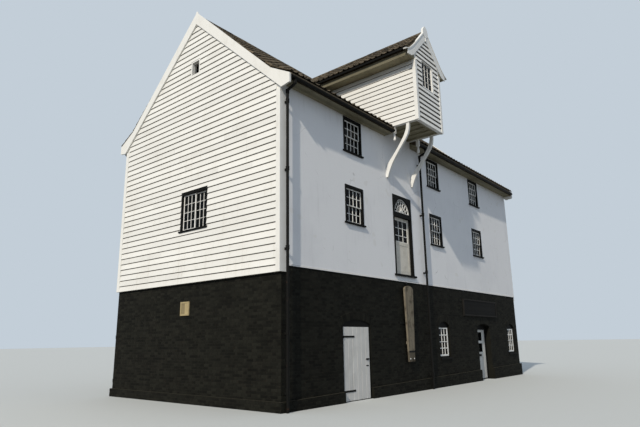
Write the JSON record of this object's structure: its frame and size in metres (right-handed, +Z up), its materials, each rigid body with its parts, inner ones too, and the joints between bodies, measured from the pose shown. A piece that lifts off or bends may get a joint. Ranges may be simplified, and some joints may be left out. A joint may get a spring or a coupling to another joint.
{
  "type": "watermill building",
  "caption": "Hollow three-storey watermill building with brick ground storey, boarded gables, tiled roof, projecting lucam on curved struts and two hinged doors.",
  "frame": {"origin": "centre of the main block's plan at ground level", "axes": "+X along the building to the right of someone facing the front, the front wall faces -Y, +Z up"},
  "size_m": [15.73, 9.2153, 12.2451],
  "materials": {
    "tarred_brick": "black tarred brickwork, semi-matt",
    "plaster": "limewashed plaster, matt",
    "white_boards": "weatherboards painted warm white",
    "white_trim": "joinery painted white",
    "black_trim": "joinery painted black",
    "brown_soffit": "dark stained boards",
    "floor_boards": "bare softwood boards",
    "floor_stone": "worn stone paving, matt",
    "pantile": "weathered clay tiles, matt",
    "glass": "clear window glass",
    "grey_planks": "planks painted pale grey",
    "greige_leaf": "joinery painted stone colour",
    "pale_leaf": "joinery painted grey-white",
    "black_iron": "iron painted black, semi-gloss",
    "weathered_board": "worn brown-grey timber",
    "cream_board": "board painted cream",
    "sign_black": "board painted black, semi-gloss"
  },
  "bodies": {
    "mill": {"attic_frames": "white_trim", "bargeboards": "white_trim", "bin_floor": "floor_boards", "corner_boards": "white_trim", "door_frames": "black_trim", "door_pins": "black_iron", "downpipes": "black_iron", "eaves_soffits": "brown_soffit", "end_wall_hatch": "cream_board", "first_floor": "floor_boards", "front_roof_left": "pantile", "front_roof_middle": "pantile", "front_roof_right": "pantile", "front_wall_left": "tarred_brick", "front_wall_middle": "tarred_brick", "front_wall_right": "tarred_brick", "front_wall_upper": "plaster", "ground_floor": "floor_stone", "gutters": "black_iron", "left_gable": "white_boards", "left_wall_brick": "tarred_brick", "loading_door": "greige_leaf", "loading_door_frame": "black_trim", "loading_door_glass": "glass", "lucam_bargeboards": "white_trim", "lucam_corner_boards": "white_trim", "lucam_drop_posts": "white_trim", "lucam_floor": "brown_soffit", "lucam_front_wall": "white_boards", "lucam_glass": "glass", "lucam_ridge_tiles": "pantile", "lucam_roof": "pantile", "lucam_side_walls": "white_boards", "lucam_soffits": "brown_soffit", "lucam_struts": "white_trim", "lucam_window": "white_trim", "rear_roof": "pantile", "rear_wall_brick": "tarred_brick", "rear_wall_upper": "white_boards", "ridge_tiles": "pantile", "right_gable": "white_boards", "right_wall_brick": "tarred_brick", "rub_board": "weathered_board", "second_floor": "floor_boards", "sign_board": "sign_black", "walls_over_doors": "tarred_brick", "window_frames": "black_trim", "window_glass": "glass", "window_sashes": "white_trim"},
    "plank_door": {"plank_door": "grey_planks", "plank_door_ironwork": "black_iron"},
    "glazed_door": {"glazed_door": "pale_leaf", "glazed_door_glass": "glass", "glazed_door_ironwork": "black_iron"}
  },
  "joints": [
    {"name": "plank_door_hinge", "type": "hinge", "parent": "mill", "child": "plank_door", "pos_m": [-5.3035, -3.697, 0.985], "axis": [0, 0, -1], "range_deg": [0, 100]},
    {"name": "glazed_door_hinge", "type": "hinge", "parent": "mill", "child": "glazed_door", "pos_m": [4.603, -3.413, 0.96], "axis": [0, 0, -1], "range_deg": [0, 95]}
  ]
}
